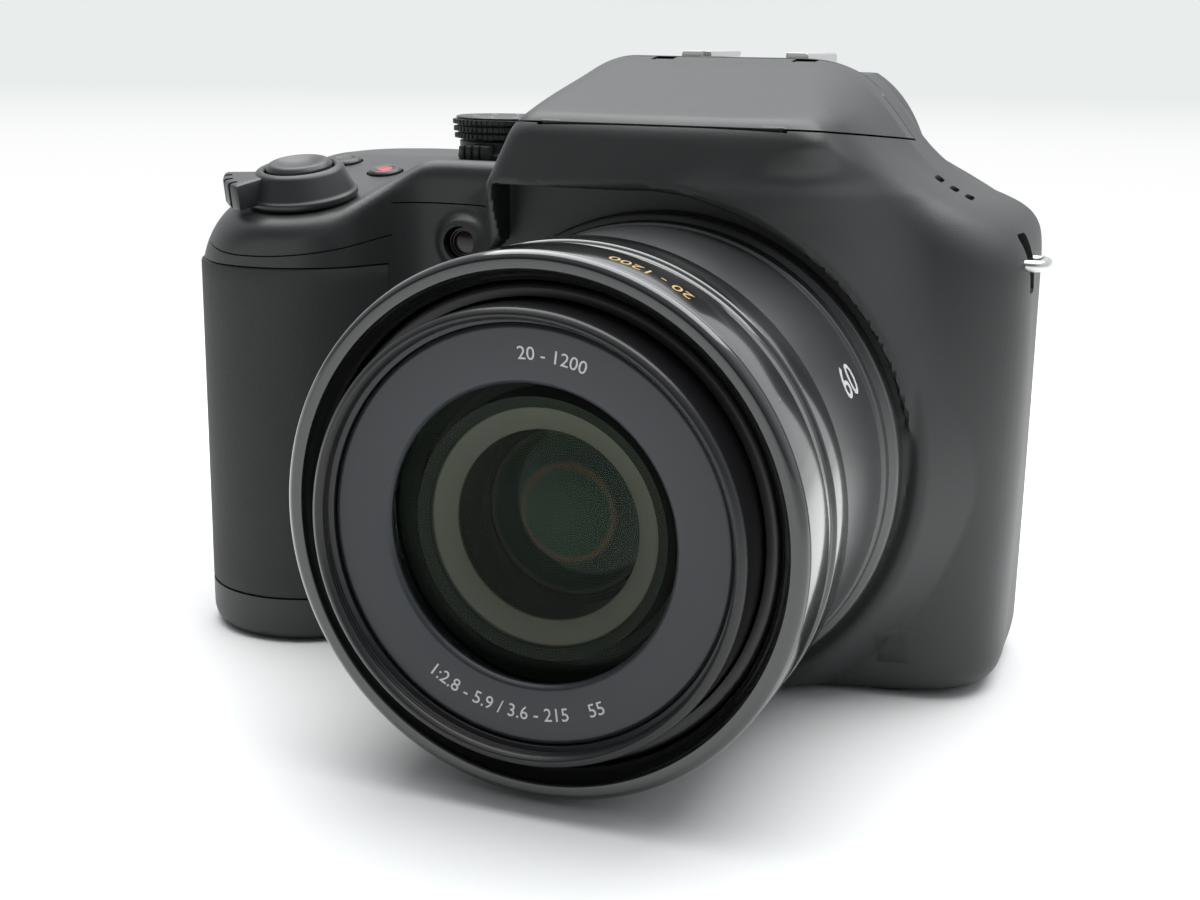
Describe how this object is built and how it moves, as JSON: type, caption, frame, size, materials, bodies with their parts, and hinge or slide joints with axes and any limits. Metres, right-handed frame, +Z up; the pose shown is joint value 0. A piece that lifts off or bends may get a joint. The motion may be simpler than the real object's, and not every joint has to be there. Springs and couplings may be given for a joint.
{
  "type": "bridge camera",
  "caption": "Bridge camera with a telescoping zoom lens, rubber handgrip, pop-up flash, viewfinder, dials, buttons and hinged doors.",
  "frame": {"origin": "mouth of the tripod socket, in the plane of the base", "axes": "+Z up, the lens looks along -Y, the handgrip is on the -X side"},
  "size_m": [0.1362, 0.1192, 0.0943],
  "materials": {
    "casing": "fine satin moulded plastic",
    "rubber": "fine grained rubber",
    "barrel_satin": "satin turned barrel",
    "ring_gloss": "polished dark ring",
    "lens_black": "semi-gloss black",
    "name_plate": "satin blue grey",
    "front_glass": "green coated glass",
    "inner_glass": "green coated glass",
    "baffle": "olive grey matt",
    "inner_plastic": "moulded plastic",
    "steel": "plated steel",
    "board": "solder mask",
    "battery": "printed sleeve, bare",
    "screen": "dark glass panel",
    "lamp": "dark red lens",
    "gear": "cut gear",
    "window": "ribbed clear window",
    "button": "satin key",
    "dial": "knurled",
    "movie_red": "red key"
  },
  "bodies": {
    "root": {"front_shell": "casing", "rear_shell": "casing", "top_cover": "casing", "bottom_cover": "casing", "grip_rubber": "rubber", "thumb_rest": "rubber", "lens_barrel": "barrel_satin", "lens_ring": "ring_gloss", "lens_base": "inner_plastic", "rear_lens": "inner_glass", "zoom_motor": "steel", "sensor_board": "board", "main_board": "board", "battery": "battery", "card_slot": "steel", "tripod_socket": "steel", "lcd_glass": "screen", "lcd_panel": "inner_plastic", "eyecup": "rubber", "evf_lens": "inner_glass", "evf_display": "screen", "flash_pin": "steel", "flash_capacitor": "battery", "hot_shoe": "steel", "terminal_sockets": "steel", "strap_eyelets": "steel", "af_lamp": "lamp", "speaker": "inner_plastic", "case_screws": "steel"},
    "zoom_mid": {"zoom_barrel_mid": "lens_black"},
    "zoom_front": {"zoom_barrel_front": "lens_black", "name_ring": "name_plate", "front_lens": "front_glass", "lens_baffle": "baffle", "second_lens": "inner_glass"},
    "drive_ring": {"drive_ring": "gear"},
    "zoom_pinion": {"zoom_pinion": "gear"},
    "flash": {"flash_head": "casing", "flash_window": "window", "flash_tube": "window"},
    "flash_button": {"flash_button": "button"},
    "shutter_button": {"shutter_button": "button"},
    "zoom_lever": {"zoom_lever": "button"},
    "mode_dial": {"mode_dial": "dial"},
    "power_switch": {"power_switch": "dial"},
    "movie_button": {"movie_button": "movie_red"},
    "burst_button": {"burst_button": "button"},
    "rear_dial": {"rear_dial": "dial"},
    "lvf_button": {"lvf_button": "button"},
    "lock_button": {"lock_button": "button"},
    "play_button": {"play_button": "button"},
    "display_button": {"display_button": "button"},
    "delete_button": {"delete_button": "button"},
    "menu_button": {"menu_button": "button"},
    "cursor_pad": {"cursor_pad": "button"},
    "terminal_door": {"terminal_door": "casing"},
    "battery_door": {"battery_door": "casing"},
    "battery_latch": {"battery_latch": "button"},
    "diopter_dial": {"diopter_dial": "dial"}
  },
  "joints": [
    {"name": "zoom_mid_slide", "type": "slide", "parent": "root", "child": "zoom_mid", "axis": [0, -1, 0], "range_m": [0, 0.036]},
    {"name": "zoom_front_slide", "type": "slide", "parent": "zoom_mid", "child": "zoom_front", "axis": [0, -1, 0], "range_m": [0, 0.0271]},
    {"name": "drive_ring_turn", "type": "hinge", "parent": "root", "child": "drive_ring", "pos_m": [0, -0.009, 0.0362], "axis": [0, 1, 0], "range_deg": [0, 60.2]},
    {"name": "zoom_pinion_turn", "type": "hinge", "parent": "root", "child": "zoom_pinion", "pos_m": [-0.03477, -0.009, 0.02354], "axis": [0, 1, 0], "range_deg": [-260, 0]},
    {"name": "flash_hinge", "type": "hinge", "parent": "root", "child": "flash", "pos_m": [0, 0.007, 0.091], "axis": [-1, 0, 0], "range_deg": [0, 48]},
    {"name": "flash_button_press", "type": "slide", "parent": "root", "child": "flash_button", "axis": [1, 0, 0], "range_m": [0, 0.0008], "stiffness_N_per_m": 800},
    {"name": "shutter_button_press", "type": "slide", "parent": "root", "child": "shutter_button", "axis": [0, 0.1908, -0.9816], "range_m": [0, 0.001], "stiffness_N_per_m": 600},
    {"name": "zoom_lever_turn", "type": "hinge", "parent": "root", "child": "zoom_lever", "pos_m": [-0.0626, -0.0195, 0.07046], "axis": [0, -0.1908, 0.9816], "range_deg": [-18, 18], "stiffness_Nm_per_rad": 0.03},
    {"name": "mode_dial_turn", "type": "hinge", "parent": "root", "child": "mode_dial", "pos_m": [-0.042, 0.012, 0.079], "axis": [0, 0, 1], "continuous": true},
    {"name": "power_switch_turn", "type": "hinge", "parent": "root", "child": "power_switch", "pos_m": [-0.042, 0.012, 0.077], "axis": [0, 0, 1], "range_deg": [0, 35]},
    {"name": "movie_button_press", "type": "slide", "parent": "root", "child": "movie_button", "axis": [0, 0.1908, -0.9816], "range_m": [0, 0.0006], "stiffness_N_per_m": 800},
    {"name": "burst_button_press", "type": "slide", "parent": "root", "child": "burst_button", "axis": [0, 0.1908, -0.9816], "range_m": [0, 0.0006], "stiffness_N_per_m": 800},
    {"name": "rear_dial_turn", "type": "hinge", "parent": "root", "child": "rear_dial", "pos_m": [-0.064, 0.0272, 0.065], "axis": [0, 0, 1], "continuous": true},
    {"name": "lvf_button_press", "type": "slide", "parent": "root", "child": "lvf_button", "axis": [0, -1, 0], "range_m": [0, 0.0006], "stiffness_N_per_m": 800},
    {"name": "lock_button_press", "type": "slide", "parent": "root", "child": "lock_button", "axis": [0, -1, 0], "range_m": [0, 0.0006], "stiffness_N_per_m": 800},
    {"name": "play_button_press", "type": "slide", "parent": "root", "child": "play_button", "axis": [0, -1, 0], "range_m": [0, 0.0006], "stiffness_N_per_m": 800},
    {"name": "display_button_press", "type": "slide", "parent": "root", "child": "display_button", "axis": [0, -1, 0], "range_m": [0, 0.0006], "stiffness_N_per_m": 800},
    {"name": "delete_button_press", "type": "slide", "parent": "root", "child": "delete_button", "axis": [0, -1, 0], "range_m": [0, 0.0006], "stiffness_N_per_m": 800},
    {"name": "menu_button_press", "type": "slide", "parent": "root", "child": "menu_button", "axis": [0, -1, 0], "range_m": [0, 0.0006], "stiffness_N_per_m": 800},
    {"name": "cursor_pad_tilt", "type": "hinge", "parent": "root", "child": "cursor_pad", "pos_m": [-0.056, 0.031, 0.022], "axis": [1, 0, 0], "range_deg": [-3, 3], "stiffness_Nm_per_rad": 0.05},
    {"name": "terminal_door_hinge", "type": "hinge", "parent": "root", "child": "terminal_door", "pos_m": [-0.0805, 0.016, 0.041], "axis": [0, 0, -1], "range_deg": [0, 90]},
    {"name": "battery_door_hinge", "type": "hinge", "parent": "root", "child": "battery_door", "pos_m": [-0.065, 0.0184, 0.0011], "axis": [1, 0, 0], "range_deg": [0, 95]},
    {"name": "battery_latch_slide", "type": "slide", "parent": "battery_door", "child": "battery_latch", "axis": [0, -1, 0], "range_m": [0, 0.0022]},
    {"name": "diopter_dial_turn", "type": "hinge", "parent": "root", "child": "diopter_dial", "pos_m": [0.02, 0.035, 0.08], "axis": [1, 0, 0], "range_deg": [-120, 120]}
  ],
  "couplings": [
    {"joint": "zoom_front_slide", "follows": "zoom_mid_slide", "ratio": 0.75},
    {"joint": "drive_ring_turn", "follows": "zoom_mid_slide", "rad_per_m": 29.089},
    {"joint": "zoom_pinion_turn", "follows": "zoom_mid_slide", "rad_per_m": -124.67}
  ]
}
